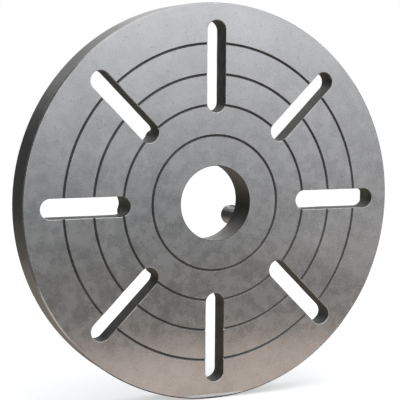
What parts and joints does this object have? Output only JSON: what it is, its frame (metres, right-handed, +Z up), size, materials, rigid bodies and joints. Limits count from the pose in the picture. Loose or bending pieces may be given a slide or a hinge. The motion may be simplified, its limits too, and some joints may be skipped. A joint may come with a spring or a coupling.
{
  "type": "lathe faceplate",
  "caption": "Round lathe faceplate with radial through slots, concentric grooves, a central bore and camlock studs on a short spindle taper.",
  "frame": {"origin": "on the lathe axis, in the back face of the hub, where the plate seats on the spindle nose", "axes": "+Y along the lathe axis towards the spindle, the work face looks along -Y, +Z up with one slot upright"},
  "size_m": [0.32, 0.056, 0.32],
  "materials": {
    "plate_iron": "fine-turned satin iron",
    "stud_steel": "ground steel",
    "screw_steel": "blackened steel"
  },
  "bodies": {
    "root": {"faceplate": "plate_iron", "cam_stud_1": "stud_steel", "cam_stud_2": "stud_steel", "cam_stud_3": "stud_steel", "stud_lock_screws": "screw_steel"}
  },
  "joints": []
}
